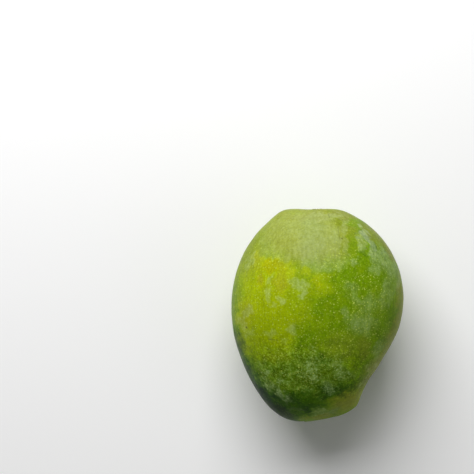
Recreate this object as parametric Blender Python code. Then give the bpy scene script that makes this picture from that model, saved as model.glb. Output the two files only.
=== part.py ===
"""A whole green mango, lying on one cheek on a small flat spot.

The fruit's own frame: +Y runs from the tip to the stem end, +X points to the belly, the side
that carries the beak, and +Z goes up through the two cheeks. The origin is on the surface that
the fruit lies on, under the middle of its outline.
"""

import math
from collections import namedtuple

import bmesh
import bpy
import numpy as np
from mathutils import Matrix, Vector

# Half lengths of the plain egg that the fruit is drawn from, in metres
HALF_WIDTH = 0.0410
STEM_REACH = 0.0445
TIP_REACH = 0.0516

# Half thickness over and under the widest section, and how much more of it there is at the
# stem end than at the tip: the upper cheek slopes, while the lower one lies level
UPPER_HALF_THICKNESS = 0.0372
LOWER_HALF_THICKNESS = 0.0368
UPPER_TAPER = 0.15
LOWER_TAPER = 0.03

# 2 makes the cross-section an ellipse, more makes the cheeks flatter
CHEEK_FULLNESS = 2.15

# A swell of the outline: its height in metres, the angle from +X where it peaks, its width in
# degrees before and after that angle, how square its top is, and how far it reaches up and down
# from the widest section, in metres. A hollow has a height below zero.
Swell = namedtuple("Swell", "height angle before after squareness reach")
BELLY_SHOULDER = Swell(0.0081, 85.0, 94.0, 26.0, 2.0, 0.046)
BACK_SHOULDER = Swell(0.0052, 110.0, 9.6, 41.0, 2.0, 0.023)
TIP = Swell(0.0044, -104.0, 23.4, 14.9, 2.0, 0.040)
SINUS = Swell(-0.0042, -46.7, 14.3, 33.8, 2.4, 0.023)
BEAK = Swell(0.0024, -66.3, 19.0, 4.5, 2.0, 0.010)
SWELLS = (BELLY_SHOULDER, BACK_SHOULDER, TIP, SINUS, BEAK)

# The stem end: a collar of flesh round a shallow cavity, and in it the round scar of the stem
STEM_X = 0.0015
STEM_Z = 0.0010
COLLAR_HEIGHT = 0.0021
COLLAR_RADIUS = 0.0125
CAVITY_DEPTH = 0.0041
CAVITY_RADIUS = 0.0075
SCAR_HEIGHT = 0.0011
SCAR_RADIUS = 0.0030
SCAR_EDGE = 0.0009

# The flat spot: how much of the lower cheek it takes off
FLAT_DEPTH = 0.0005

# Mesh: rings are closer together at the stem end and at the tip
SEGMENTS = 80
RINGS = 52
RING_CROWDING = 0.68

SKIN_COLOUR = (0.25, 0.30, 0.03, 1.0)
SKIN_ROUGHNESS = 0.45


def swell_profile(swell, angles):
    """Height of a swell at each angle: height * exp(-|turn / width| ** squareness)."""
    turn = (angles - swell.angle + 180.0) % 360.0 - 180.0
    width = np.where(turn < 0.0, swell.before, swell.after)
    return swell.height * np.exp(-np.abs(turn / width) ** swell.squareness)


def egg_radius(angles):
    """Distance from the middle to the plain egg: an ellipse with a longer tip end."""
    across = np.cos(np.radians(angles))
    along = np.sin(np.radians(angles))
    reach = (STEM_REACH + TIP_REACH) / 2.0 + (STEM_REACH - TIP_REACH) / 2.0 * along
    return 1.0 / np.hypot(across / HALF_WIDTH, along / reach)


def stem_relief(x, z):
    """Height of the stem end over the egg, by the distance r from the stem's own axis.

    A collar and a cavity are bells, height * exp(-(r / radius) ** 2), and the scar is a disc
    with a soft edge.
    """
    r = np.hypot(x - STEM_X, z - STEM_Z)
    collar = COLLAR_HEIGHT * np.exp(-((r / COLLAR_RADIUS) ** 2))
    cavity = CAVITY_DEPTH * np.exp(-((r / CAVITY_RADIUS) ** 2))
    scar = SCAR_HEIGHT / (1.0 + np.exp((r - SCAR_RADIUS) / (SCAR_EDGE / 2.0)))
    return collar - cavity + scar


def outline_centre():
    """Middle of the box round the outline, so that the fruit can stand over the origin."""
    angles = np.linspace(-180.0, 180.0, 3601)
    radius = egg_radius(angles) + sum(swell_profile(swell, angles) for swell in SWELLS)
    x = radius * np.cos(np.radians(angles))
    y = radius * np.sin(np.radians(angles))
    y = y + np.where(y > 0.0, stem_relief(x, 0.0), 0.0)
    return (x.min() + x.max()) / 2.0, (y.min() + y.max()) / 2.0


def fruit_surface(directions):
    """Points of the skin for unit directions from the middle of the fruit.

    A direction has an angle in the widest section and a rise over it. The two are bent into a
    superellipse, and then the point lies at outline radius * run across the widest section and
    at half thickness * rise over it. Each swell fades away from the widest section.
    """
    dx, dy, dz = directions.T
    run = np.hypot(dx, dy)
    angles = np.degrees(np.arctan2(dy, dx))
    size = (run**CHEEK_FULLNESS + np.abs(dz) ** CHEEK_FULLNESS) ** (1.0 / CHEEK_FULLNESS)
    run = run / size
    rise = dz / size

    half_thickness = np.where(dz > 0.0, UPPER_HALF_THICKNESS, LOWER_HALF_THICKNESS)
    taper = np.where(dz > 0.0, UPPER_TAPER, LOWER_TAPER)
    radius = egg_radius(angles)
    for swell in SWELLS:
        fade = np.exp(-((half_thickness * rise / swell.reach) ** 2))
        radius = radius + swell_profile(swell, angles) * fade
    x = radius * run * np.cos(np.radians(angles))
    y = radius * run * np.sin(np.radians(angles))
    z = half_thickness * rise * (1.0 + taper * y / STEM_REACH)
    y = y + np.where(y > 0.0, stem_relief(x, z), 0.0)

    centre_x, centre_y = outline_centre()
    middle_height = LOWER_HALF_THICKNESS - FLAT_DEPTH
    return np.column_stack((x - centre_x, y - centre_y, z + middle_height))


def clear_scene():
    """Remove every object that the file was opened with."""
    for thing in list(bpy.data.objects):
        bpy.data.objects.remove(thing, do_unlink=True)


def new_collection(name):
    """A collection in the scene."""
    collection = bpy.data.collections.new(name)
    bpy.context.scene.collection.children.link(collection)
    return collection


def skin_material():
    """Smooth yellow-green skin."""
    material = bpy.data.materials.new("mango_skin")
    material.use_nodes = True
    shader = material.node_tree.nodes["Principled BSDF"]
    shader.inputs["Base Color"].default_value = SKIN_COLOUR
    shader.inputs["Roughness"].default_value = SKIN_ROUGHNESS
    shader.inputs["Metallic"].default_value = 0.0
    return material


def make_fruit(collection):
    """The fruit: a sphere with its poles at the stem end and the tip, drawn out to the skin."""
    bm = bmesh.new()
    poles_along_y = Matrix.Rotation(math.radians(-90.0), 4, "X")
    bmesh.ops.create_uvsphere(
        bm, u_segments=SEGMENTS, v_segments=RINGS, radius=1.0, matrix=poles_along_y
    )
    sphere = np.array([vertex.co[:] for vertex in bm.verts])
    polar = np.arccos(np.clip(sphere[:, 1], -1.0, 1.0))
    around = np.arctan2(sphere[:, 0], sphere[:, 2])
    polar = polar - RING_CROWDING / 2.0 * np.sin(2.0 * polar)
    directions = np.column_stack(
        (np.sin(polar) * np.sin(around), np.cos(polar), np.sin(polar) * np.cos(around))
    )
    for vertex, point in zip(bm.verts, fruit_surface(directions)):
        vertex.co = Vector(point)
    bmesh.ops.recalc_face_normals(bm, faces=bm.faces)

    mesh = bpy.data.meshes.new("mango")
    bm.to_mesh(mesh)
    bm.free()
    mesh.shade_smooth()
    mesh.materials.append(skin_material())
    fruit = bpy.data.objects.new("mango", mesh)
    collection.objects.link(fruit)
    return fruit


def make_flat_cutter(collection):
    """A block under the ground plane, which the flat spot is cut with."""
    side = 4.0 * HALF_WIDTH
    bm = bmesh.new()
    bmesh.ops.create_cube(bm, size=side)
    mesh = bpy.data.meshes.new("flat_cutter")
    bm.to_mesh(mesh)
    bm.free()
    cutter = bpy.data.objects.new("flat_cutter", mesh)
    cutter.location = (0.0, 0.0, -side / 2.0)
    cutter.hide_render = True
    cutter.display_type = "WIRE"
    collection.objects.link(cutter)
    return cutter


def cut_flat_spot(fruit, cutter):
    """Take the flat spot off the lower cheek with the block."""
    cut = fruit.modifiers.new("flat_spot", "BOOLEAN")
    cut.operation = "DIFFERENCE"
    cut.solver = "EXACT"
    cut.object = cutter


def main():
    clear_scene()
    parts = new_collection("mango_fruit")
    cutters = new_collection("mango_cutters")
    fruit = make_fruit(parts)
    cut_flat_spot(fruit, make_flat_cutter(cutters))


main()
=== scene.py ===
"""A whole green mango on a pale floor, seen from straight above in soft studio light.

The frame is the fruit's own: +Y runs from the tip to the stem end, +X points to the belly, the
side that carries the beak, and +Z goes up through the two cheeks. Lengths are in metres, and
the places of marks on the skin are in millimetres from the origin.
"""

import math
from collections import namedtuple

import bpy
import numpy as np
from bpy.props import FloatProperty, FloatVectorProperty, PointerProperty
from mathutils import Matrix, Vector


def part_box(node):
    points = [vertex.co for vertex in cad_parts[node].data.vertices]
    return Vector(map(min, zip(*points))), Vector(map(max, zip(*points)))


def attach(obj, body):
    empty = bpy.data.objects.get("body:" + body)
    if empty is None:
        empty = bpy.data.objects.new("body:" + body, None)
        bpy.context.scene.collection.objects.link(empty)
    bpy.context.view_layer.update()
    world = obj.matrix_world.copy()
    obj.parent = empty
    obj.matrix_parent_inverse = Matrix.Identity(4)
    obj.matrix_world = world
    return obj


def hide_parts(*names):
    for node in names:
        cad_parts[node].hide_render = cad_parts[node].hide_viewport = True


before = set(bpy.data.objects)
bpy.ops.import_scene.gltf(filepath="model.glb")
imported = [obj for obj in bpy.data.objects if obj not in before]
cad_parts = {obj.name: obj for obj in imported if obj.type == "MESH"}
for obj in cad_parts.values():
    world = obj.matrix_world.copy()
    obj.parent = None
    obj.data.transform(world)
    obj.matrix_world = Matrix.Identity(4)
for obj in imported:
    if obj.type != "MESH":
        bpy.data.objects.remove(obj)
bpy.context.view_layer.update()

bl_info = {
    "name": "Green mango",
    "version": (1, 0, 0),
    "blender": (4, 5, 0),
    "location": "3D View > Sidebar > Mango",
    "description": "Makes a whole green mango with a waxy, dotted skin, and a stage to see it on",
    "category": "Add Mesh",
}

FRUIT_LOW, FRUIT_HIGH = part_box("mango")
MM = 0.001

# A swell of the outline: its height in metres, the angle from +X where it peaks, its width in
# degrees before and after that angle, how square its top is, and how far it reaches up and down
# from the widest section, in metres. A hollow has a height below zero.
Swell = namedtuple("Swell", "height angle before after squareness reach")
BELLY_SHOULDER = Swell(0.0081, 85.0, 94.0, 26.0, 2.0, 0.046)
BACK_SHOULDER = Swell(0.0052, 110.0, 9.6, 41.0, 2.0, 0.023)
TIP = Swell(0.0044, -104.0, 23.4, 14.9, 2.0, 0.040)
SINUS = Swell(-0.0042, -46.7, 14.3, 33.8, 2.4, 0.023)
BEAK = Swell(0.0024, -66.3, 19.0, 4.5, 2.0, 0.010)
SWELLS = (BELLY_SHOULDER, BACK_SHOULDER, TIP, SINUS, BEAK)

# The stem end: a collar of flesh round a shallow cavity, and in it the round scar of the stem
STEM_X = 0.0015
STEM_Z = 0.0010
COLLAR_HEIGHT = 0.0021
COLLAR_RADIUS = 0.0125
CAVITY_DEPTH = 0.0041
CAVITY_RADIUS = 0.0075
SCAR_HEIGHT = 0.0011
SCAR_RADIUS = 0.0030
SCAR_EDGE = 0.0009
SCAR_PIT_DEPTH = 0.0006
SCAR_PIT_RADIUS = 0.0011
SCAR_CREASES = 9
SCAR_CREASE_DEPTH = 0.00018

# The skin round the scar is tinted up to this distance from its middle
SCAR_REACH = 0.0120

# Low waves that keep the skin from looking turned: height and length of each, in metres
SKIN_WAVES = ((0.00016, 0.031), (0.00009, 0.017), (0.00004, 0.0083))

# The foot of the fruit is rounded into its flat spot over this length
FLAT_ROUNDING = 0.00015

# Mesh: points in each ring round the length, and rings, which are closer together at both ends
SEGMENTS = 380
RINGS = 258
RING_CROWDING = 0.55

# How far along from 0 to 1 each ground colour of the skin stands
GROUND_STOPS = (
    ("darkest_green_and_painted_shade", 0.0), ("deep", 0.20), ("green", 0.45), ("lime", 0.64), ("yellow", 0.82), ("gold", 1.0)
)

# A patch painted on the upper side: its middle in millimetres, its half length and half width, the
# turn of its length from +X in degrees, the value it paints, and how soft its edge is. Later
# patches lie over earlier ones, and a patch of 300 millimetres covers the whole fruit.
Patch = namedtuple("Patch", "x y length width turn value softness")

# Ripeness of the ground colour, from 0, the darkest green, to 1, gold. Near 0 it is partly painted
# shade, on the lower left edge that faces away from the light
RIPENESS_PATCHES = (
    # the whole fruit, the yellow side, and the shoulder with the edge to its left
    Patch(0, 0, 300, 300, 0, 0.50, 0.2),
    Patch(-27, 6, 21, 28, 0, 0.80, 1.4),
    Patch(-14, 38, 26, 16, 0, 0.62, 0.9),
    Patch(-3, 38, 6.5, 14, 0, 0.50, 0.6),
    Patch(-33, 33, 5, 16, -32, 0.56, 1.0),
    Patch(-40, 10, 3.0, 12, 0, 0.62, 1.2),
    # from the middle to the green side on the right
    Patch(-8, 3, 8, 13, 0, 0.66, 1.2),
    Patch(5, 4, 9, 14, 0, 0.48, 1.0),
    Patch(22, 4, 14, 18, 0, 0.46, 1.0),
    Patch(33, -4, 5, 14, -18, 0.40, 1.0),
    Patch(32, 27, 10, 7, -52, 0.41, 0.9),
    Patch(34, 14, 4, 9, -8, 0.45, 0.9),
    Patch(20, -2, 9, 7, 0, 0.45, 1.0),
    Patch(26, 4, 6, 6, 0, 0.46, 1.2),
    Patch(22.8, 39.6, 6.0, 2.0, -53, 0.15, 0.8),
    # below the middle
    Patch(-25, -5, 14, 6, 0, 0.73, 1.3),
    Patch(-20, -11, 15, 5, -4, 0.72, 1.2),
    Patch(-10, -28, 24, 11, -8, 0.36, 1.1),
    Patch(-24, -18, 10, 4, -14, 0.60, 1.2),
    Patch(11, -14, 12, 8, 0, 0.46, 1.2),
    Patch(22, -20, 5, 12, 20, 0.43, 1.0),
    # gold and yellow patches under the shoulder
    Patch(-23, 25, 9, 3.4, 2, 1.00, 0.9),
    Patch(-30, 27, 3, 4.5, 0, 0.86, 0.8),
    Patch(-19, 18.5, 3.6, 6.0, 0, 0.92, 1.0),
    Patch(-36, 1, 4.0, 7.0, 0, 0.90, 1.0),
    Patch(-28.5, 18, 2.6, 3.0, 0, 0.95, 1.2),
    Patch(-13.3, 21.5, 1.9, 2.4, 0, 0.84, 0.6),
    Patch(-6.8, 22.8, 3.2, 1.9, -42, 0.76, 0.6),
    Patch(2, 14, 4.0, 3.5, 0, 0.66, 1.3),
    Patch(-0.8, 18.5, 2.0, 3.4, 0, 0.84, 1.2),
    Patch(5, 19.5, 4.0, 2.0, 0, 0.70, 0.8),
    Patch(16, 20, 10, 3.2, 2, 0.42, 0.6),
    # bare spots and strips at the upper right
    Patch(11, 46.5, 2.2, 1.6, 0, 0.50, 0.7),
    Patch(17.6, 46.0, 3.0, 2.2, -30, 0.49, 0.7),
    Patch(15, 40.5, 1.4, 4.0, 0, 0.52, 0.7),
    Patch(17.0, 35.0, 2.2, 5.4, 10, 0.46, 0.7),
    Patch(24.5, 42.5, 6.5, 2.0, -42, 0.42, 0.7),
    Patch(30, 38, 4.4, 2.0, -50, 0.42, 0.7),
    Patch(27.5, 34.5, 2.0, 1.4, -40, 0.22, 0.8),
    Patch(32.5, 32, 1.6, 1.1, -40, 0.26, 0.8),
    Patch(20.5, 31, 2.0, 1.2, -20, 0.34, 0.8),
    Patch(21.5, 27, 2.4, 2.4, 0, 0.44, 0.7),
    Patch(21, 13, 2.4, 3.2, 0, 0.46, 0.7),
    Patch(28.5, 17.5, 3.6, 2.6, -20, 0.42, 0.8),
    # greener towards the tip, and darkest at the lower left edge: real dark green, and painted
    # shade where the edge faces away from the light
    Patch(-7, -5, 5, 4, 0, 0.52, 1.2),
    Patch(-7, -12, 6, 5, -20, 0.43, 1.2),
    Patch(2, -21, 3.6, 3.0, -30, 0.30, 1.2),
    Patch(-7, -28, 5.0, 3.0, 0, 0.42, 1.2),
    Patch(10, -18, 3.0, 1.4, -35, 0.38, 1.0),
    Patch(2, -36, 12, 4.5, 0, 0.30, 1.3),
    Patch(12, -33, 12, 5, 12, 0.36, 1.2),
    Patch(8, -36.5, 9, 3.4, 10, 0.16, 1.2),
    Patch(-6, -41, 11, 4.4, 0, 0.22, 1.2),
    Patch(-6.5, -45.5, 4.5, 2.6, -10, 0.18, 1.2),
    Patch(-12, -43.5, 14, 5, -16, 0.13, 1.4),
    Patch(-27, -41, 12, 5.4, -50, 0.03, 1.2),
    Patch(-18, -49, 10, 3.6, -26, 0.02, 1.2),
    Patch(-35.5, -29, 11, 4.4, -62, 0.10, 1.3),
    Patch(-40.5, -14, 10, 3.2, -78, 0.14, 1.3),
    Patch(-42.5, 6, 12, 2.0, 88, 0.50, 1.2),
    # the paler beak and tip, and the darkest of the edge, partly painted shade
    Patch(12, -43.5, 8, 4.0, 14, 0.50, 1.2),
    Patch(3, -48, 8, 2.4, 6, 0.42, 1.0),
    Patch(16.5, -42.5, 6, 4.0, 24, 0.62, 1.4),
    Patch(1, -50.2, 8, 1.3, 4, 0.52, 1.0),
    Patch(-31, -38, 6, 3.0, -52, 0.00, 1.0),
    Patch(-22.5, -46.5, 6, 2.6, -36, 0.00, 1.0),
)

# Cover of the waxy bloom, from 0, rubbed off, to 1
BLOOM_PATCHES = (
    # thin on the mottled part, and thick on the shoulder
    Patch(-8, -27, 24, 13, -6, 0.25, 1.0),
    Patch(-7, 40, 20, 13.5, 0, 0.45, 0.8),
    Patch(-21, 35, 9, 9, 0, 0.37, 0.8),
    Patch(-3.5, 37, 5.5, 14, 0, 0.51, 0.7),
    Patch(2, 49.3, 10, 1.8, 0, 0.52, 0.8),
    Patch(7.5, 36, 3.0, 7.0, 0, 0.52, 0.8),
    Patch(5, 27, 10, 6, 0, 0.42, 1.1),
    Patch(-34, 27, 1.6, 6, -25, 0.38, 0.8),
    # clouds on the green side
    Patch(31, 29, 7, 5, -50, 0.52, 0.8),
    Patch(36, 23, 5, 3.5, -70, 0.48, 0.8),
    Patch(26, 30, 3, 3, 0, 0.46, 0.9),
    Patch(13.5, 45, 3.0, 4.5, 0, 0.44, 0.9),
    Patch(20.6, 35.5, 1.7, 4.6, 14, 0.50, 0.9),
    Patch(13.2, 35, 1.6, 5.0, 4, 0.42, 0.9),
    Patch(22.8, 39.8, 7.6, 2.4, -55, 0.74, 0.9),
    Patch(27, 31.5, 4.0, 2.4, -58, 0.60, 1.0),
    Patch(17.5, 27, 2.6, 2.2, 0, 0.48, 0.8),
    Patch(27, 23, 5, 3, 0, 0.40, 0.9),
    Patch(15, 14.5, 5, 2.6, 0, 0.38, 1.0),
    Patch(22, 8, 9, 5, -20, 0.36, 1.3),
    Patch(33, 12, 3.6, 9, -8, 0.42, 1.1),
    Patch(39.5, 17, 2.0, 7, -10, 0.44, 1.1),
    Patch(21, -3, 8, 6.5, 0, 0.42, 1.2),
    Patch(12, 1, 2, 4, 0, 0.38, 0.9),
    # small clouds on the yellow side and in the middle
    Patch(-24, 19, 1.5, 2.6, 0, 0.42, 0.7),
    Patch(-25.2, 11.5, 2.2, 4.4, 0, 0.44, 0.8),
    Patch(-23, 6, 2.0, 1.6, 0, 0.34, 0.8),
    Patch(-18.3, 8.5, 2.4, 2.2, 0, 0.44, 0.8),
    Patch(-10, 16.5, 5, 3.2, 0, 0.50, 1.0),
    Patch(-8, 11, 1.8, 3, 0, 0.48, 0.8),
    Patch(-13.5, 16, 2.2, 2.6, 20, 0.46, 0.8),
    Patch(-35, 2.5, 2.4, 3.2, 0, 0.48, 0.9),
    Patch(-37.5, -3, 2.2, 4, 10, 0.42, 0.9),
    Patch(-33.5, -8, 3, 2, 0, 0.36, 0.9),
    Patch(-13, -6, 2.6, 3.2, 0, 0.42, 0.9),
    Patch(-24, -7.5, 3.2, 2, 0, 0.36, 0.9),
    Patch(-17.3, -11, 1.4, 2.2, 0, 0.28, 0.9),
    # clouds on the mottled part, the lower right side and the tip
    Patch(-27, -28.5, 2.4, 2.6, 0, 0.60, 0.9),
    Patch(-28, -22.5, 2.6, 2.0, 0, 0.32, 0.9),
    Patch(-18, -29, 2.0, 2.8, 0, 0.46, 0.9),
    Patch(-23.5, -34, 3.2, 2.0, -45, 0.54, 1.1),
    Patch(-19.5, -38, 3.0, 1.7, -30, 0.52, 1.1),
    Patch(-14.5, -41.0, 3.2, 1.5, -15, 0.48, 1.1),
    Patch(-11, -46.2, 5.0, 1.8, -14, 0.32, 1.1),
    Patch(-3, -15, 1.8, 2.4, 0, 0.38, 0.9),
    Patch(-4, -23, 2.8, 4.4, 0, 0.44, 1.1),
    Patch(-5, -28.5, 5.6, 2.8, 0, 0.56, 1.1),
    Patch(9, -23.5, 3.2, 4.4, 0, 0.40, 1.1),
    Patch(11, -28.5, 6.0, 2.8, 0, 0.38, 1.1),
    Patch(15.5, -28, 2.4, 2.0, 0, 0.38, 0.9),
    Patch(5, -35, 3.6, 3.0, 0, 0.40, 0.9),
    Patch(29, -16, 2.8, 6.0, -22, 0.38, 1.0),
    Patch(26.5, -26, 3.4, 4.0, 0, 0.40, 1.0),
    Patch(22.5, -32, 2.0, 4.6, -28, 0.40, 0.9),
    Patch(3, -47.5, 7.0, 2.6, 6, 0.44, 0.9),
    Patch(12, -43.5, 6.0, 2.4, 16, 0.22, 0.9),
    Patch(-14, -48, 6.0, 1.6, -10, 0.16, 0.9),
    # places where it is rubbed off
    Patch(-23, 25, 8.6, 2.8, 2, 0.0, 0.5),
    Patch(-19.3, 20.5, 3.0, 4.4, 0, 0.0, 0.6),
    Patch(-13.3, 21.5, 1.7, 2.0, 0, 0.0, 0.6),
    Patch(-6.8, 22.8, 2.8, 1.6, -42, 0.0, 0.5),
    Patch(-0.8, 18.5, 2.0, 3.0, 0, 0.0, 0.7),
    Patch(11, 20.5, 13, 1.9, 2, 0.05, 0.7),
    Patch(11, 46.5, 2.0, 1.4, 0, 0.10, 0.7),
    Patch(17.6, 46.0, 3.0, 2.2, -30, 0.0, 0.6),
    Patch(15, 40.5, 1.2, 3.6, 0, 0.08, 0.7),
    Patch(17.0, 35.0, 1.8, 5.0, 10, 0.05, 0.7),
    Patch(27, 40.5, 7.5, 1.5, -48, 0.05, 0.7),
    Patch(21.5, 27, 2.2, 2.2, 0, 0.06, 0.7),
    Patch(21, 13, 2.2, 3.0, 0, 0.04, 0.7),
)

# Tan tint of the skin, from 0 to 1. Along the right edge it is partly a painted rim reflection
TAN_AND_RIM_REFLECTION_PATCHES = (
    # the shoulder and the yellow side
    Patch(-6, 41, 25, 14, 0, 0.50, 0.8),
    Patch(0, 50.5, 22, 3.0, 0, 0.60, 0.9),
    Patch(7.5, 38, 3.0, 10, 0, 0.46, 0.9),
    Patch(-11, 51, 4, 1.4, 0, 0.45, 0.9),
    Patch(-33, 31, 6, 12, -24, 0.35, 1.1),
    Patch(-28.5, 18, 1.6, 2.0, 0, 0.30, 0.9),
    Patch(-19.5, 17.5, 3.0, 5.0, 0, 0.20, 0.9),
    # the upper right, and along the right edge, where the tan is partly a painted reflection of the
    # pale surroundings at the rim
    Patch(27, 41, 8.0, 3.0, -46, 0.42, 0.9),
    Patch(17.6, 46.0, 3.2, 2.6, -30, 0.10, 0.7),
    Patch(17.0, 35.0, 2.4, 5.4, 10, 0.14, 0.7),
    Patch(28.5, 44.2, 8.0, 1.3, -45, 0.80, 0.8),
    Patch(36.0, 32.8, 7.8, 2.0, -63, 0.56, 1.0),
    Patch(42, 9, 11, 3.2, 88, 0.46, 1.6),
    Patch(41, -2, 8, 3.0, 78, 0.50, 1.6),
    Patch(37, -11, 8, 3.4, 64, 0.50, 1.6),
    Patch(27.5, -27, 12, 3.4, 56, 0.55, 1.6),
    # the lower part, the beak and the tip
    Patch(12, -14, 10, 6, 0, 0.20, 1.0),
    Patch(22, -15, 3, 6, 0, 0.28, 0.9),
    Patch(-38, -13, 5, 2.4, -66, 0.22, 1.0),
    Patch(-18, -48, 9, 2.4, -28, 0.05, 0.9),
    Patch(14.5, -42, 8, 4.4, 24, 0.48, 1.2),
    Patch(1, -50.3, 9, 1.3, 4, 0.35, 0.9),
)

# Strength of the pale dots, from 0 to 1
DOT_PATCHES = (
    Patch(0, 0, 300, 300, 0, 0.50, 0.2),
    Patch(-27, 4, 15, 22, 0, 0.78, 1.0),
    Patch(-8, 41, 18, 12, 0, 0.10, 0.8),
    Patch(8, 30, 10, 6, 0, 0.55, 0.9),
    Patch(16, 6, 20, 24, 0, 0.95, 0.8),
    Patch(-2, -8, 16, 12, 0, 0.75, 1.0),
    Patch(-10, -27, 18, 11, 0, 0.85, 1.0),
    Patch(39, 4, 5, 16, 0, 0.15, 0.8),
    Patch(6, -47, 14, 6, 8, 0.15, 0.9),
    Patch(-14, -44, 14, 6, -18, 0.35, 1.0),
)

# Strength of the light and dark mottling, from 0 to 1
MOTTLE_PATCHES = (
    Patch(0, 0, 300, 300, 0, 0.24, 0.2),
    Patch(-26, 4, 16, 20, 0, 0.24, 0.9),
    Patch(-8, 42, 26, 14, 0, 0.06, 0.9),
    Patch(-8, -26, 28, 14, -6, 1.00, 0.9),
    Patch(12, -27, 12, 12, 0, 0.85, 0.9),
    Patch(-4, -50, 30, 6, 4, 0.20, 0.8),
)

# Round blotches by chance on the sides and the underside: the seed of the chance, how many, the
# smallest and largest radius in millimetres, and the lowest and highest value
Blotches = namedtuple("Blotches", "seed count smallest largest lowest highest")
RIPENESS_BLOTCHES = Blotches(11, 70, 3.0, 13.0, 0.30, 0.76)
BLOOM_BLOTCHES = Blotches(23, 120, 1.8, 8.0, 0.05, 0.58)
TAN_BLOTCHES = Blotches(31, 16, 2.0, 7.0, 0.10, 0.50)
DOT_BLOTCHES = Blotches(41, 24, 6.0, 16.0, 0.30, 0.80)
MOTTLE_BLOTCHES = Blotches(53, 24, 6.0, 18.0, 0.15, 0.85)

# Where the edge of a blotch begins and ends, in radii
BLOTCH_INNER = 0.45
BLOTCH_OUTER = 1.45

# The upper side ends between these heights, in metres, where the blotches take over. Under the
# widest section the patches are drawn out sideways, by as much again over DRAW_OUT_DEPTH, and by
# more or less in waves.
UPPER_FROM = 0.012
UPPER_TO = 0.036
WIDEST_HEIGHT = 0.0363
DRAW_OUT_DEPTH = 0.065
DRAW_OUT_WAVE = 0.35
DRAW_OUT_LENGTH = 0.027

# Waves that make the edges of the patches ragged: height and length of each, in metres
EDGE_WAVES = ((0.0011, 0.0103), (0.0008, 0.0051), (0.0005, 0.0029))

# A scratch: its two ends and its half width, in millimetres, and its strength. They fade out
# downwards between two heights, in metres.
Scratch = namedtuple("Scratch", "x0 y0 x1 y1 width strength")
SCRATCHES = (
    Scratch(-25.0, -10.8, -20.5, -11.2, 0.16, 0.6),
    Scratch(5.0, 50.2, 5.2, 48.6, 0.16, 0.8),
    Scratch(9.2, 44.0, 10.0, 37.5, 0.13, 0.45),
    Scratch(10.9, 38.3, 11.3, 38.2, 0.30, 0.8),
    Scratch(-35.6, -5.2, -35.5, -5.5, 0.34, 0.9),
    Scratch(23.0, 33.6, 23.4, 33.5, 0.24, 0.6),
    Scratch(26.6, 30.8, 26.9, 30.6, 0.24, 0.6),
    Scratch(-28.0, 14.0, -27.8, 12.6, 0.20, 0.35),
)
SCRATCH_HEIGHTS = (0.022, 0.040)

# A texture of the skin: the length of its waves in metres, the detail and the roughness of its
# noise, and the two noise values between which it goes from low to high
Texture = namedtuple("Texture", "length detail roughness low high")
CLOUDS = Texture(0.0042, 3.0, 0.6, 0.34, 0.66)
FLECKS = Texture(0.0010, 1.0, 0.5, 0.46, 0.76)
STREAKS = Texture(0.0014, 2.0, 0.5, 0.30, 0.70)
WEAR = Texture(0.0040, 3.0, 0.6, 0.30, 0.70)
FIBRES = Texture(0.0007, 3.0, 0.6, 0.30, 0.70)
PORE_LENGTH = 0.0009

# Places are multiplied by these, so that streaks run along the fruit and fibres out of the scar
STREAK_STRETCH = (1.0, 0.10, 1.0)
FIBRE_STRETCH = (1.0, 0.3, 1.0)

# What the textures do to a value: its level, the shares of clouds and flecks in it and what is
# taken off the two, their strength on plain skin and how much it gains where the skin is mottled,
# and the share of streaks
Variation = namedtuple("Variation", "level clouds flecks less plain mottled streaks")
GROUND_LIGHTNESS = Variation(0.98, 0.50, 0.70, 0.37, 0.0, 1.0, 0.12)
BLOOM_FRAY = Variation(0.87, 0.90, 1.50, 0.85, 0.10, 0.85, 0.26)

# Waves of a value by chance: their length in metres, and the range of the value
Wander = namedtuple("Wander", "length reach")
GRAIN = Wander(0.0009, 0.75)
RIPENESS_WAVES = (Wander(0.0060, 0.24), Wander(0.0021, 0.12))
SCAR_RAGGEDNESS = Wander(0.0022, 0.16)
WANDER_DETAIL = 2.0
WANDER_ROUGHNESS = 0.55

# Between these values of ripeness, its waves shrink to a share
WAVES_SHRINK = (0.35, 0.90)
RIPE_WAVES = 0.40

# A step: its result goes from 0 to most as its value goes from low to high
Step = namedtuple("Step", "low high most")
BLOOM_STEP = Step(0.08, 1.0, 0.60)
HALO_STEP = Step(0.30, 0.72, 0.55)
SCAR_STEP = Step(0.70, 0.76, 1.0)
PIT_STEP = Step(0.80, 0.96, 0.80)

# How dark and how light the fibres make the scar
CORK_LIGHTNESS = (0.45, 1.70)

# A kind of dots: its spacing and radius as shares of the skin's own, its strength on plain skin
# and how much that gains where the skin is mottled
DotKind = namedtuple("DotKind", "spacing radius plain mottled")
DOT_KINDS = (
    DotKind(1.00, 1.00, 1.00, 0.0),
    DotKind(0.62, 0.60, 0.80, 0.0),
    DotKind(0.55, 0.75, 0.0, 0.40),
)

# Each dot has its own chance from 0 to 1: radius and strength are a least share and a gain by it
DOT_SCATTER = 0.9
DOT_LEAST_RADIUS = 0.7
DOT_RADIUS_GAIN = 0.5
DOT_LEAST_STRENGTH = 0.4
DOT_STRENGTH_GAIN = 0.6
DOT_CORE = 0.35

# Between these values of ripeness, dots go from this share of their strength to the whole
DOT_DIMMING = (0.05, 0.45)
DIMMED_DOTS = 0.30

# Shine: the specular level, and how much duller bloom, scar and wear make the skin
SPECULAR_LEVEL = 0.04
BLOOM_DULLNESS = 0.20
SCAR_DULLNESS = 0.30
WEAR_REACH = 0.05

# Fine relief: the share of each mark in its height, the height in metres and its strength
DOT_RELIEF = 0.5
PORE_RELIEF = 0.5
SCRATCH_RELIEF = -1.2
FIBRE_RELIEF = 5.0
RELIEF_HEIGHT = 0.00005
RELIEF_STRENGTH = 0.6

# The camera looks down on this point, with the fruit low at the right of its view
VIEW_CENTRE = Vector((-0.0402, 0.0391, 0.0363))

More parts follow.
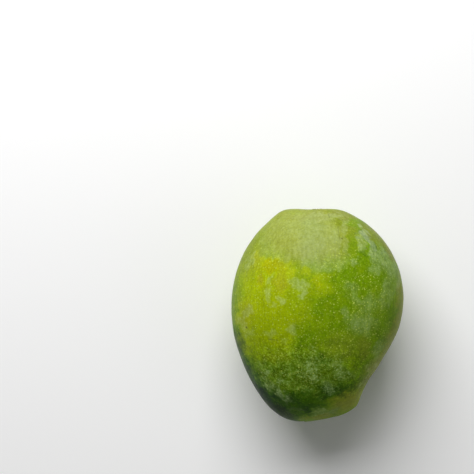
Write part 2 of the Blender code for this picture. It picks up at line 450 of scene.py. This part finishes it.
# Directions from the fruit to the two soft lights, and how far away they are
KEY_DIRECTION = Vector((-0.20, 0.70, 0.68))
FILL_DIRECTION = Vector((0.84, -0.28, 0.46))
LIGHT_DISTANCE = 0.9

# Floor, sky and the range of the camera
FLOOR_RADIUS = 1.05
FLOOR_CORNERS = 180
FLOOR_COLOUR = (0.95, 0.95, 0.95, 1.0)
FLOOR_ROUGHNESS = 0.9
FLOOR_SPECULAR_LEVEL = 0.1
SKY_COLOUR = (1.0, 1.0, 1.0, 1.0)
CLIP_START = 0.01
CLIP_END = 10.0

# Nodes are laid out in rows
NODES_IN_ROW = 12
NODE_WIDTH = 220.0
NODE_HEIGHT = 260.0


def number_property(name, description, default, **kind):
    """A number, with its unit or its subtype."""
    return FloatProperty(name=name, description=description, default=default, **kind)


def colour_property(name, description, default):
    """A colour in linear red, green and blue."""
    return FloatVectorProperty(
        name=name, description=description, default=default, subtype="COLOR", min=0.0, max=1.0
    )


class MangoShape(bpy.types.PropertyGroup):
    """Sizes of the plain egg that the fruit is drawn from."""

    half_width: number_property(
        "Half width", "From the middle to either side", 0.0410, unit="LENGTH"
    )
    stem_reach: number_property(
        "Stem reach", "From the middle to the stem end", 0.0445, unit="LENGTH"
    )
    tip_reach: number_property(
        "Tip reach", "From the middle to the tip", 0.0516, unit="LENGTH"
    )
    upper_half_thickness: number_property(
        "Upper half thickness", "From the widest section to the upper cheek", 0.0372, unit="LENGTH"
    )
    lower_half_thickness: number_property(
        "Lower half thickness", "From the widest section to the lower cheek", 0.0368, unit="LENGTH"
    )
    upper_taper: number_property(
        "Upper taper", "How much thicker the upper cheek is at the stem end", 0.15, subtype="FACTOR"
    )
    lower_taper: number_property(
        "Lower taper", "How much thicker the lower cheek is at the stem end", 0.03, subtype="FACTOR"
    )
    cheek_fullness: number_property(
        "Cheek fullness", "2 for an elliptical section, more for flatter cheeks", 2.15
    )
    flat_depth: number_property(
        "Flat depth", "How much the flat spot takes off the lower cheek", 0.0005, unit="LENGTH"
    )


class MangoSkin(bpy.types.PropertyGroup):
    """Colours and scales of the skin."""

    # The darkest green stop is also painted shade along the lower left edge, which faces away from
    # the light
    darkest_green_and_painted_shade: colour_property("Shade green", "Skin that never saw the sun", (0.010, 0.037, 0.012))
    deep: colour_property("Deep green", "Unripe skin", (0.050, 0.130, 0.002))
    green: colour_property("Green", "Skin of the middle of the cheek", (0.138, 0.252, 0.001))
    lime: colour_property("Lime", "Skin that begins to turn", (0.230, 0.332, 0.001))
    yellow: colour_property("Yellow", "Skin that is turning", (0.298, 0.386, 0.001))
    gold: colour_property("Gold", "The ripest skin", (0.310, 0.345, 0.001))
    # The tan also serves as a painted rim reflection along the right edge
    tan: colour_property("Tan", "Tint of the browned skin", (0.238, 0.215, 0.028))
    bloom: colour_property("Bloom", "Waxy powder on the skin", (0.465, 0.550, 0.275))
    frost: colour_property("Frost", "Powder on the mottled skin", (0.400, 0.550, 0.225))
    dot: colour_property("Dots", "The small pale dots of the skin", (0.500, 0.620, 0.100))
    scar: colour_property("Scar", "Dry scar of the stem", (0.170, 0.120, 0.065))
    pit: colour_property("Pit", "Woody middle of the stem scar", (0.030, 0.017, 0.009))
    halo: colour_property("Halo", "Skin round the stem scar", (0.095, 0.125, 0.012))
    scratch: colour_property("Scratch", "Thin healed scratches", (0.100, 0.110, 0.020))
    dot_spacing: number_property(
        "Dot spacing", "Size of the cells of the dots", 0.0014, unit="LENGTH"
    )
    dot_radius: number_property("Dot radius", "Largest radius of a dot", 0.00042, unit="LENGTH")
    roughness: number_property("Roughness", "Roughness of the bare skin", 0.40, subtype="FACTOR")


class MangoStage(bpy.types.PropertyGroup):
    """Camera and light."""

    camera_height: number_property(
        "Camera height", "From the widest section of the fruit to the camera", 1.2, unit="LENGTH"
    )
    view_width: number_property(
        "View width", "Width of its view at the widest section", 0.237, unit="LENGTH"
    )
    key_power: number_property("Key power", "Power of the main soft light", 10.5, unit="POWER")
    fill_power: number_property(
        "Fill power", "Power of the weak light from the right", 0.8, unit="POWER"
    )
    key_size: number_property("Light size", "Side of each soft light", 0.8, unit="LENGTH")
    sky: number_property("Sky", "Strength of the even light all round", 0.15)
    backdrop: number_property("Backdrop", "How bright the sky is to look at", 0.70)


def swell_profile(swell, angles):
    """Height of a swell at each angle: height * exp(-|turn / width| ** squareness)."""
    turn = (angles - swell.angle + 180.0) % 360.0 - 180.0
    width = np.where(turn < 0.0, swell.before, swell.after)
    return swell.height * np.exp(-np.abs(turn / width) ** swell.squareness)


def egg_radius(shape, angles):
    """Distance from the middle to the plain egg: an ellipse with a longer tip end."""
    across = np.cos(np.radians(angles))
    along = np.sin(np.radians(angles))
    middle_reach = (shape.stem_reach + shape.tip_reach) / 2.0
    reach = middle_reach + (shape.stem_reach - shape.tip_reach) / 2.0 * along
    return 1.0 / np.hypot(across / shape.half_width, along / reach)


def stem_relief(x, z):
    """Height of the stem end over the egg, by the distance r from the stem's own axis.

    A collar, a cavity and a pit are bells, height * exp(-(r / radius) ** 2). The scar is a disc
    with a soft edge, creased by cos(creases * angle) inside it.
    """
    r = np.hypot(x - STEM_X, z - STEM_Z)
    turn = np.arctan2(z - STEM_Z, x - STEM_X)
    collar = COLLAR_HEIGHT * np.exp(-((r / COLLAR_RADIUS) ** 2))
    cavity = CAVITY_DEPTH * np.exp(-((r / CAVITY_RADIUS) ** 2))
    disc = 1.0 / (1.0 + np.exp((r - SCAR_RADIUS) / (SCAR_EDGE / 2.0)))
    pit = SCAR_PIT_DEPTH * np.exp(-((r / SCAR_PIT_RADIUS) ** 2))
    inside = disc * np.clip(r / SCAR_RADIUS, 0.0, 1.0)
    creases = SCAR_CREASE_DEPTH * np.cos(SCAR_CREASES * turn) * inside
    return collar - cavity + SCAR_HEIGHT * disc - pit + creases


def skin_waves(x, y, z):
    """Low relief of the skin: for each wave, height * sin * sin * cos of the three places.

    The slants and the shifts only keep the waves from lining up.
    """
    relief = np.zeros_like(x)
    for number, (height, length) in enumerate(SKIN_WAVES):
        pace = 2.0 * math.pi / length
        relief += (
            height
            * np.sin(pace * (x + 0.3 * y) + 1.7 * number)
            * np.sin(pace * (0.8 * y - 0.2 * z) + 0.6 + number)
            * np.cos(pace * 0.9 * (z + 0.25 * x) + 2.1 * number)
        )
    return relief


def fruit_points(shape, around, polar):
    """Points of the skin on a grid of the turn round the length and the angle from the stem.

    The grid gives unit directions. A direction has an angle in the widest section and a rise
    over it. The two are bent into a superellipse, and then the point lies at outline radius *
    run across the widest section and at half thickness * rise over it. Each swell fades away
    from the widest section, and low waves lie on the whole.
    """
    dx = np.sin(polar) * np.sin(around)
    dy = np.cos(polar)
    dz = np.sin(polar) * np.cos(around)
    run = np.hypot(dx, dy)
    angles = np.degrees(np.arctan2(dy, dx))
    fullness = shape.cheek_fullness
    size = (run**fullness + np.abs(dz) ** fullness) ** (1.0 / fullness)
    run = run / size
    rise = dz / size

    half_thickness = np.where(dz > 0.0, shape.upper_half_thickness, shape.lower_half_thickness)
    taper = np.where(dz > 0.0, shape.upper_taper, shape.lower_taper)
    radius = egg_radius(shape, angles)
    for swell in SWELLS:
        fade = np.exp(-((half_thickness * rise / swell.reach) ** 2))
        radius = radius + swell_profile(swell, angles) * fade
    x = radius * run * np.cos(np.radians(angles))
    y = radius * run * np.sin(np.radians(angles))
    z = half_thickness * rise * (1.0 + taper * y / shape.stem_reach)
    waves = skin_waves(x, y, z)
    x, y, z = x + waves * dx, y + waves * dy, z + waves * dz
    y = y + np.where(y > 0.0, stem_relief(x, z), 0.0)

    z = z + shape.lower_half_thickness - shape.flat_depth
    z = (z + np.sqrt(z * z + FLAT_ROUNDING**2)) / 2.0
    return np.stack((x, y, z), axis=-1)


def centred_on_node(points):
    """The points, moved sideways so that the middle of their box is over that of the node."""
    middle = (points.min(axis=0) + points.max(axis=0)) / 2.0
    node_middle = (FRUIT_LOW + FRUIT_HIGH) / 2.0
    return points + np.array((node_middle.x - middle[0], node_middle.y - middle[1], 0.0))


def closed_grid_faces(rings, segments):
    """Faces of rings of points between a first and a last pole, pointing outwards.

    Point 0 is the first pole. Quads join the rings, and a fan of triangles joins each end ring to
    its pole.
    """
    here = np.arange(segments)
    after = (here + 1) % segments
    upper = 1 + np.arange(rings - 1)[:, None] * segments
    lower = upper + segments
    quads = np.stack((lower + here, lower + after, upper + after, upper + here), -1)
    last_ring = 1 + (rings - 1) * segments
    last_pole = last_ring + segments
    first_fan = np.stack((np.zeros_like(here), 1 + after, 1 + here), -1)
    last_fan = np.stack((np.full_like(here, last_pole), last_ring + here, last_ring + after), -1)
    return first_fan.tolist() + quads.reshape(-1, 4).tolist() + last_fan.tolist()


def smooth_step(value, low, high):
    """0 below low, 1 above high, and 3t^2 - 2t^3 between them."""
    t = np.clip((value - low) / (high - low), 0.0, 1.0)
    return t * t * (3.0 - 2.0 * t)


def shaken(points):
    """The points, each moved by sums of sine * cosine of its other two places.

    It makes the edges of the patches ragged. The slants and shifts keep the waves from lining up.
    """
    moved = points.copy()
    for height, length in EDGE_WAVES:
        pace = 2.0 * math.pi / length
        for axis in range(3):
            first = points[:, (axis + 1) % 3]
            second = points[:, (axis + 2) % 3]
            moved[:, axis] += height * (
                np.sin(pace * (first + 0.4 * second) + 1.3 * axis)
                * np.cos(pace * (0.7 * second - 0.3 * first) + 0.8 * axis)
            )
    return moved


def paint_patches(points, patches):
    """Values of the patches seen from above, by the distance d from the middle of each.

    d is 1 on the oval of a patch. The value goes over to that of the patch as d falls through 1,
    over a range of d as wide as the softness. Under the widest section, x and y are multiplied
    by 1 + depth / DRAW_OUT_DEPTH * (1 + wave), so that a patch at the rim ends in tongues a
    little way under it. The wave is DRAW_OUT_WAVE * sin(x) * cos(y), with x and y in wave lengths.
    """
    values = np.zeros(len(points))
    depth = np.clip(WIDEST_HEIGHT - points[:, 2], 0.0, None)
    turns = points * (2.0 * math.pi / DRAW_OUT_LENGTH)
    wave = DRAW_OUT_WAVE * np.sin(turns[:, 0]) * np.cos(turns[:, 1])
    drawn_out = 1.0 + depth / DRAW_OUT_DEPTH * (1.0 + wave)
    for patch in patches:
        turn = math.radians(patch.turn)
        x = points[:, 0] * drawn_out - patch.x * MM
        y = points[:, 1] * drawn_out - patch.y * MM
        along = (x * math.cos(turn) + y * math.sin(turn)) / (patch.length * MM)
        across = (y * math.cos(turn) - x * math.sin(turn)) / (patch.width * MM)
        distance = np.hypot(along, across)
        edge = patch.softness / 2.0
        values += (patch.value - values) * (1.0 - smooth_step(distance, 1.0 - edge, 1.0 + edge))
    return values


def paint_blotches(points, blotches, start):
    """The start values, with round blotches over them whose middles are points by chance.

    The value goes over to that of the blotch as the distance from its middle falls through its
    radius.
    """
    chance = np.random.default_rng(blotches.seed)
    values = start.copy()
    for _ in range(blotches.count):
        middle = points[chance.integers(len(points))]
        radius = chance.uniform(blotches.smallest, blotches.largest) * MM
        value = chance.uniform(blotches.lowest, blotches.highest)
        distance = np.linalg.norm(points - middle, axis=1) / radius
        values += (value - values) * (1.0 - smooth_step(distance, BLOTCH_INNER, BLOTCH_OUTER))
    return values


def skin_fields(points):
    """Each painted field at each point: its patches, and its blotches over them lower down."""
    upper = smooth_step(points[:, 2], UPPER_FROM, UPPER_TO)
    places = shaken(points)
    fields = {}
    for name, patches, blotches in (
        ("ripeness", RIPENESS_PATCHES, RIPENESS_BLOTCHES),
        ("bloom", BLOOM_PATCHES, BLOOM_BLOTCHES),
        ("tan", TAN_AND_RIM_REFLECTION_PATCHES, TAN_BLOTCHES),
        ("dots", DOT_PATCHES, DOT_BLOTCHES),
        ("mottle", MOTTLE_PATCHES, MOTTLE_BLOTCHES),
    ):
        seen = paint_patches(places, patches)
        hidden = paint_blotches(places, blotches, seen)
        fields[name] = hidden + (seen - hidden) * upper
    return fields


def stem_field(shape, points):
    """1 at the middle of the stem scar, falling evenly to 0 at SCAR_REACH from it."""
    height = points[:, 2] - shape.lower_half_thickness + shape.flat_depth - STEM_Z
    distance = np.hypot(points[:, 0] - STEM_X, height)
    return np.where(points[:, 1] > 0.0, np.clip(1.0 - distance / SCAR_REACH, 0.0, 1.0), 0.0)


def fruit_mesh(shape):
    """The skin as one closed mesh, with a pole at the stem and one at the tip.

    The angle from the stem is step - crowding / 2 * sin(2 * step), for even steps from 0 to pi.
    """
    steps = np.linspace(0.0, math.pi, RINGS + 2)
    polar = steps - RING_CROWDING / 2.0 * np.sin(2.0 * steps)
    around = np.arange(SEGMENTS) * (2.0 * math.pi / SEGMENTS)
    grid = fruit_points(shape, around[None, :], polar[1:-1, None])
    poles = fruit_points(shape, np.zeros(2), polar[[0, -1]])
    points = np.vstack((poles[:1], grid.reshape(-1, 3), poles[1:]))
    stem = stem_field(shape, points)
    points = centred_on_node(points)
    fields = skin_fields(points)
    fields["stem"] = stem
    mesh = bpy.data.meshes.new("green_mango")
    mesh.from_pydata(points, [], closed_grid_faces(RINGS, SEGMENTS))
    for name, values in fields.items():
        mesh.attributes.new(name, "FLOAT", "POINT").data.foreach_set("value", values)
    mesh.shade_smooth()
    return mesh


class Graph:
    """Adds nodes to a tree, so that a material reads as a list of steps."""

    def __init__(self, tree):
        self.tree = tree

    def feed(self, socket, value):
        """Links a socket to an input, or sets the input's own value."""
        if isinstance(value, bpy.types.NodeSocket):
            self.tree.links.new(value, socket)
        else:
            socket.default_value = value

    def node(self, kind, inputs=None, **settings):
        """A node with its settings, and values or links for its inputs by name or number."""
        made = self.tree.nodes.new(kind)
        row, column = divmod(len(self.tree.nodes), NODES_IN_ROW)
        made.location = (column * NODE_WIDTH, -row * NODE_HEIGHT)
        for name, value in settings.items():
            setattr(made, name, value)
        for name, value in (inputs or {}).items():
            self.feed(made.inputs[name], value)
        return made

    def math(self, operation, first, second=0.0, third=0.0, clamp=False):
        """One step of arithmetic."""
        return self.node(
            "ShaderNodeMath", {0: first, 1: second, 2: third}, operation=operation, use_clamp=clamp
        ).outputs[0]

    def attribute(self, name):
        """A field that the mesh carries."""
        return self.node("ShaderNodeAttribute", attribute_name=name).outputs["Fac"]

    def vector(self, operation, first, second, output="Vector"):
        """One step of arithmetic on vectors."""
        made = self.node("ShaderNodeVectorMath", {0: first, 1: second}, operation=operation)
        return made.outputs[output]

    def dot(self, first, second):
        """Dot product of two vectors."""
        return self.vector("DOT_PRODUCT", first, second, "Value")

    def scale(self, vector, factor):
        """Makes a vector longer or shorter, or a colour lighter or darker."""
        return self.node(
            "ShaderNodeVectorMath", {0: vector, "Scale": factor}, operation="SCALE"
        ).outputs["Vector"]

    def ramp(self, value, low, high, to_low=0.0, to_high=1.0):
        """A smooth step from to_low at low to to_high at high."""
        inputs = {
            "Value": value,
            "From Min": low,
            "From Max": high,
            "To Min": to_low,
            "To Max": to_high,
        }
        return self.node(
            "ShaderNodeMapRange", inputs, interpolation_type="SMOOTHSTEP"
        ).outputs["Result"]

    def step(self, value, step):
        """The result of a Step."""
        return self.ramp(value, step.low, step.high, 0.0, step.most)

    def noise(self, place, length, detail=2.0, roughness=0.5):
        """Noise with waves of a length, in metres."""
        inputs = {"Vector": place, "Scale": 1.0 / length, "Detail": detail, "Roughness": roughness}
        return self.node("ShaderNodeTexNoise", inputs).outputs[0]

    def texture(self, place, kind, to_low=0.0, to_high=1.0):
        """A Texture of the skin, from to_low to to_high."""
        noise = self.noise(place, kind.length, kind.detail, kind.roughness)
        return self.ramp(noise, kind.low, kind.high, to_low, to_high)

    def wander(self, place, kind):
        """Waves by chance, from about -reach / 2 to reach / 2."""
        noise = self.noise(place, kind.length, WANDER_DETAIL, WANDER_ROUGHNESS)
        return self.math("MULTIPLY", self.math("SUBTRACT", noise, 0.5), kind.reach)

    def blend(self, first, second, factor):
        """Mixes two colours."""
        made = self.node("ShaderNodeMix", data_type="RGBA")
        self.feed(made.inputs[0], factor)
        self.feed(made.inputs[6], first)
        self.feed(made.inputs[7], second)
        return made.outputs[2]

    def group(self, tree, inputs):
        """A node group with values or links for its inputs."""
        made = self.node("ShaderNodeGroup", node_tree=tree)
        for name, value in inputs.items():
            self.feed(made.inputs[name], value)
        return made.outputs[0]


def new_group(name, inputs, output):
    """A shader node group with one output, its graph, its inputs and what feeds the output.

    inputs maps a name to (socket kind, default).
    """
    tree = bpy.data.node_groups.new(name, "ShaderNodeTree")
    for title, (kind, default) in inputs.items():
        socket = tree.interface.new_socket(title, in_out="INPUT", socket_type=kind)
        socket.default_value = default
    tree.interface.new_socket(output, in_out="OUTPUT", socket_type="NodeSocketFloat")
    graph = Graph(tree)
    entry = graph.node("NodeGroupInput")
    leave = graph.node("NodeGroupOutput")
    return tree, graph, entry.outputs, leave.inputs[0]


def scratch_group():
    """Mask of a thin straight mark, by the distance from the line from Start along Way.

    It is 1 on the line, a half at Width from it, and 0 at twice Width.
    """
    tree, graph, entry, leave = new_group(
        "skin_scratch",
        {
            "Place": ("NodeSocketVector", (0.0, 0.0, 0.0)),
            "Start": ("NodeSocketVector", (0.0, 0.0, 0.0)),
            "Way": ("NodeSocketVector", (0.001, 0.0, 0.0)),
            "Width": ("NodeSocketFloat", 0.0002),
            "Strength": ("NodeSocketFloat", 1.0),
        },
        "Mask",
    )
    offset = graph.vector("SUBTRACT", entry["Place"], entry["Start"])
    along = graph.dot(offset, entry["Way"])
    whole = graph.dot(entry["Way"], entry["Way"])
    share = graph.math("DIVIDE", along, whole, clamp=True)
    gap = graph.vector("SUBTRACT", offset, graph.scale(entry["Way"], share))
    distance = graph.node("ShaderNodeVectorMath", {0: gap}, operation="LENGTH").outputs["Value"]
    outer = graph.math("MULTIPLY", entry["Width"], 2.0)
    mask = graph.ramp(distance, 0.0, outer, 1.0, 0.0)
    graph.feed(leave, graph.math("MULTIPLY", mask, entry["Strength"]))
    return tree


def dot_group():
    """Mask of small round dots, one in each cell that comes near enough to the skin."""
    tree, graph, entry, leave = new_group(
        "skin_dots",
        {
            "Place": ("NodeSocketVector", (0.0, 0.0, 0.0)),
            "Spacing": ("NodeSocketFloat", 0.002),
            "Radius": ("NodeSocketFloat", 0.0004),
        },
        "Mask",
    )
    scale = graph.math("DIVIDE", 1.0, entry["Spacing"])
    cell = graph.node(
        "ShaderNodeTexVoronoi",
        {"Vector": entry["Place"], "Scale": scale, "Randomness": DOT_SCATTER},
        feature="F1", distance="EUCLIDEAN",
    ).outputs
    chance = graph.node("ShaderNodeSeparateColor", {0: cell["Color"]}).outputs[0]
    growth = graph.math("MULTIPLY_ADD", chance, DOT_RADIUS_GAIN, DOT_LEAST_RADIUS)
    outer = graph.math("MULTIPLY", graph.math("MULTIPLY", entry["Radius"], scale), growth)
    inner = graph.math("MULTIPLY", outer, DOT_CORE)
    mask = graph.ramp(cell["Distance"], inner, outer, 1.0, 0.0)
    strength = graph.math("MULTIPLY_ADD", chance, DOT_STRENGTH_GAIN, DOT_LEAST_STRENGTH)
    graph.feed(leave, graph.math("MULTIPLY", mask, strength))
    return tree


def scratches_mask(graph, place):
    """All scratches together, seen from above, on the upper cheek alone."""
    tree = scratch_group()
    over = graph.vector("MULTIPLY", place, (1.0, 1.0, 0.0))
    mask = 0.0
    for scratch in SCRATCHES:
        one = graph.group(tree, {
            "Place": over,
            "Start": (scratch.x0 * MM, scratch.y0 * MM, 0.0),
            "Way": ((scratch.x1 - scratch.x0) * MM, (scratch.y1 - scratch.y0) * MM, 0.0),
            "Width": scratch.width * MM,
            "Strength": scratch.strength,
        })
        mask = graph.math("MAXIMUM", mask, one)
    height = graph.node("ShaderNodeSeparateXYZ", {0: place}).outputs["Z"]
    return graph.math("MULTIPLY", mask, graph.ramp(height, *SCRATCH_HEIGHTS))


def dots_mask(graph, place, mottle, skin):
    """All kinds of dots together, by the field of the dots, and dimmer on the darkest skin."""
    tree = dot_group()
    mask = 0.0
    for kind in DOT_KINDS:
        one = graph.group(tree, {
            "Place": place,
            "Spacing": skin.dot_spacing * kind.spacing,
            "Radius": skin.dot_radius * kind.radius,
        })
        strength = graph.math("MULTIPLY_ADD", mottle, kind.mottled, kind.plain)
        mask = graph.math("MAXIMUM", mask, graph.math("MULTIPLY", one, strength))
    mask = graph.math("MULTIPLY", mask, graph.attribute("dots"))
    dimming = graph.ramp(graph.attribute("ripeness"), *DOT_DIMMING, DIMMED_DOTS, 1.0)
    return graph.math("MULTIPLY", mask, dimming)


def colour(values):
    """A colour property as the four numbers of a socket."""
    return (*values, 1.0)


def skin_textures(graph, place):
    """Soft clouds, pale flecks, and streaks along the fruit, each from 0 to 1."""
    rubbed = graph.vector("MULTIPLY", place, STREAK_STRETCH)
    clouds = graph.texture(place, CLOUDS)
    flecks = graph.texture(place, FLECKS)
    streaks = graph.texture(rubbed, STREAKS)
    return clouds, flecks, streaks


def varied(graph, textures, mottle, kind):
    """level + (clouds + flecks - less) * (plain + mottled * mottle) + streaks, by their shares."""
    clouds, flecks, streaks = textures
    spots = graph.math("MULTIPLY_ADD", clouds, kind.clouds, -kind.less)
    spots = graph.math("MULTIPLY_ADD", flecks, kind.flecks, spots)
    strength = graph.math("MULTIPLY_ADD", mottle, kind.mottled, kind.plain)
    value = graph.math("MULTIPLY_ADD", spots, strength, kind.level)
    return graph.math("MULTIPLY_ADD", streaks, kind.streaks, value)


def ground_colour(graph, place, skin):
    """Ground colour by ripeness, which has waves of two lengths, larger where it is unripe."""
    ripeness = graph.attribute("ripeness")
    unripe = graph.ramp(ripeness, *WAVES_SHRINK, 1.0, RIPE_WAVES)
    for kind in RIPENESS_WAVES:
        waves = graph.math("MULTIPLY", graph.wander(place, kind), unripe)
        ripeness = graph.math("ADD", ripeness, waves)
    ramp = graph.node("ShaderNodeValToRGB", {0: ripeness})
    stops = ramp.color_ramp.elements
    for _, position in GROUND_STOPS[1:-1]:
        stops.new(position)
    for stop, (name, position) in zip(stops, GROUND_STOPS):
        stop.position = position
        stop.color = colour(getattr(skin, name))
    # tan tint, which along the right edge is partly a painted rim reflection
    return graph.blend(ramp.outputs[0], colour(skin.tan), graph.attribute("tan"))


def skin_material(skin):
    """Green skin that turns yellow, with pale dots, a waxy bloom, and a dry stem scar."""
    material = bpy.data.materials.new("mango_skin_waxy")
    material.use_nodes = True
    shader = material.node_tree.nodes["Principled BSDF"]
    graph = Graph(material.node_tree)
    place = graph.node("ShaderNodeTexCoord").outputs["Object"]
    mottle = graph.attribute("mottle")
    textures = skin_textures(graph, place)

    # ground colour with its grain
    lightness = varied(graph, textures, mottle, GROUND_LIGHTNESS)
    lightness = graph.math("ADD", lightness, graph.wander(place, GRAIN))
    tint = graph.scale(ground_colour(graph, place, skin), lightness)

    # waxy bloom: nothing where the field is 0, and else frayed, and rubbed along the fruit
    fray = varied(graph, textures, mottle, BLOOM_FRAY)
    cover = graph.math("MULTIPLY", graph.attribute("bloom"), fray)
    bloom = graph.step(cover, BLOOM_STEP)
    powder = graph.blend(colour(skin.bloom), colour(skin.frost), mottle)
    tint = graph.blend(tint, powder, bloom)

    # pale dots, which show through the bloom, then thin healed scratches and specks
    dots = dots_mask(graph, place, mottle, skin)
    tint = graph.blend(tint, colour(skin.dot), dots)
    scratches = scratches_mask(graph, place)
    tint = graph.blend(tint, colour(skin.scratch), scratches)

    # dry scar of the stem: a green-brown ring round it, then a corky rim and a dark woody pit
    drawn = graph.vector("MULTIPLY", place, FIBRE_STRETCH)
    fibre = graph.noise(drawn, FIBRES.length, FIBRES.detail, FIBRES.roughness)
    stem = graph.math("ADD", graph.attribute("stem"), graph.wander(place, SCAR_RAGGEDNESS))
    scar = graph.step(stem, SCAR_STEP)
    fibre_lightness = graph.ramp(fibre, FIBRES.low, FIBRES.high, *CORK_LIGHTNESS)
    cork = graph.scale(tuple(skin.scar), fibre_lightness)
    tint = graph.blend(tint, colour(skin.halo), graph.step(stem, HALO_STEP))
    tint = graph.blend(tint, cork, scar)
    tint = graph.blend(tint, colour(skin.pit), graph.step(stem, PIT_STEP))
    graph.feed(shader.inputs["Base Color"], tint)

    # bloom and scar are duller than the bare skin
    dullness = graph.math("MULTIPLY_ADD", bloom, BLOOM_DULLNESS, skin.roughness)
    dullness = graph.math("MULTIPLY_ADD", scar, SCAR_DULLNESS, dullness)
    wear = graph.texture(place, WEAR, -WEAR_REACH, WEAR_REACH)
    graph.feed(shader.inputs["Roughness"], graph.math("ADD", dullness, wear))
    shader.inputs["Specular IOR Level"].default_value = SPECULAR_LEVEL

    # fine relief: pores are noise, dots and the scar's fibres stand proud, and scratches sink in
    height = graph.math("MULTIPLY", graph.noise(place, PORE_LENGTH), PORE_RELIEF)
    height = graph.math("MULTIPLY_ADD", dots, DOT_RELIEF, height)
    height = graph.math("MULTIPLY_ADD", scratches, SCRATCH_RELIEF, height)
    grain = graph.math("MULTIPLY", scar, fibre)
    height = graph.math("MULTIPLY_ADD", grain, FIBRE_RELIEF, height)
    bump = graph.node(
        "ShaderNodeBump",
        {"Height": height, "Distance": RELIEF_HEIGHT, "Strength": RELIEF_STRENGTH},
    )
    graph.feed(shader.inputs["Normal"], bump.outputs["Normal"])
    return material


class MANGO_OT_fruit(bpy.types.Operator):
    """Make the fruit with its skin, in the place of its plain solid"""

    bl_idname = "mango.fruit"
    bl_label = "Mango"

    def execute(self, context):
        scene = context.scene
        fruit = bpy.data.objects.new("green_mango", fruit_mesh(scene.mango_shape))
        scene.collection.objects.link(fruit)
        fruit.data.materials.append(skin_material(scene.mango_skin))
        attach(fruit, "root")
        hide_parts("mango")
        return {"FINISHED"}


def floor_material():
    """Plain pale matt floor."""
    material = bpy.data.materials.new("pale_floor")
    material.use_nodes = True
    shader = material.node_tree.nodes["Principled BSDF"]
    shader.inputs["Base Color"].default_value = FLOOR_COLOUR
    shader.inputs["Roughness"].default_value = FLOOR_ROUGHNESS
    shader.inputs["Specular IOR Level"].default_value = FLOOR_SPECULAR_LEVEL
    return material


def floor_mesh(radius, corners):
    """A flat disc round the origin: corners at radius * (cos, sin) of evenly spaced angles."""
    angles = np.arange(corners) * (2.0 * math.pi / corners)
    rim = radius * np.stack((np.cos(angles), np.sin(angles), np.zeros(corners)), axis=-1)
    mesh = bpy.data.meshes.new("studio_floor")
    mesh.from_pydata(rim, [], [range(corners)])
    return mesh


def soft_light(scene, name, direction, size, power):
    """A square soft light that faces the fruit from a direction."""
    light = bpy.data.lights.new(name, "AREA")
    light.shape = "SQUARE"
    light.size = size
    light.energy = power
    lamp = bpy.data.objects.new(name, light)
    towards = direction.normalized()
    lamp.location = towards * LIGHT_DISTANCE
    lamp.rotation_euler = towards.to_track_quat("Z", "Y").to_euler()
    scene.collection.objects.link(lamp)


class MANGO_OT_stage(bpy.types.Operator):
    """Make the floor, the light and the camera"""

    bl_idname = "mango.stage"
    bl_label = "Stage"

    def execute(self, context):
        scene = context.scene
        stage = scene.mango_stage
        floor = bpy.data.objects.new("studio_floor", floor_mesh(FLOOR_RADIUS, FLOOR_CORNERS))
        floor.data.materials.append(floor_material())
        scene.collection.objects.link(floor)

        world = bpy.data.worlds.new("studio_sky")
        world.use_nodes = True
        graph = Graph(world.node_tree)
        seen = graph.node("ShaderNodeLightPath").outputs["Is Camera Ray"]
        strength = graph.math("MULTIPLY_ADD", seen, stage.backdrop - stage.sky, stage.sky)
        background = world.node_tree.nodes["Background"]
        background.inputs["Color"].default_value = SKY_COLOUR
        graph.feed(background.inputs["Strength"], strength)
        scene.world = world

        soft_light(scene, "key_light", KEY_DIRECTION, stage.key_size, stage.key_power)
        soft_light(scene, "fill_light", FILL_DIRECTION, stage.key_size, stage.fill_power)

        lens = bpy.data.cameras.new("camera")
        lens.lens = lens.sensor_width * stage.camera_height / stage.view_width
        lens.clip_start = CLIP_START
        lens.clip_end = CLIP_END
        camera = bpy.data.objects.new("camera", lens)
        camera.location = VIEW_CENTRE + Vector((0.0, 0.0, stage.camera_height))
        scene.collection.objects.link(camera)
        bpy.context.scene.camera = camera
        scene.view_settings.view_transform = "Standard"
        return {"FINISHED"}


class MANGO_PT_panel(bpy.types.Panel):
    """Sizes, colours and light of the mango"""

    bl_label = "Green mango"
    bl_idname = "MANGO_PT_panel"
    bl_space_type = "VIEW_3D"
    bl_region_type = "UI"
    bl_category = "Mango"

    def draw(self, context):
        layout = self.layout
        scene = context.scene
        for group in (scene.mango_shape, scene.mango_skin, scene.mango_stage):
            box = layout.box()
            for name in group.__annotations__:
                box.prop(group, name)
        for operator in OPERATORS:
            layout.operator(operator.bl_idname)


OPERATORS = (MANGO_OT_fruit, MANGO_OT_stage)
CLASSES = (MangoShape, MangoSkin, MangoStage, *OPERATORS, MANGO_PT_panel)


def register():
    """Add the classes, and the settings to the scene."""
    for cls in CLASSES:
        bpy.utils.register_class(cls)
    bpy.types.Scene.mango_shape = PointerProperty(type=MangoShape)
    bpy.types.Scene.mango_skin = PointerProperty(type=MangoSkin)
    bpy.types.Scene.mango_stage = PointerProperty(type=MangoStage)


def unregister():
    """Take the settings and the classes away again."""
    del bpy.types.Scene.mango_stage
    del bpy.types.Scene.mango_skin
    del bpy.types.Scene.mango_shape
    for cls in reversed(CLASSES):
        bpy.utils.unregister_class(cls)


def main():
    """Make the fruit and the stage."""
    register()
    bpy.ops.mango.fruit()
    bpy.ops.mango.stage()


if __name__ == "__main__":
    main()
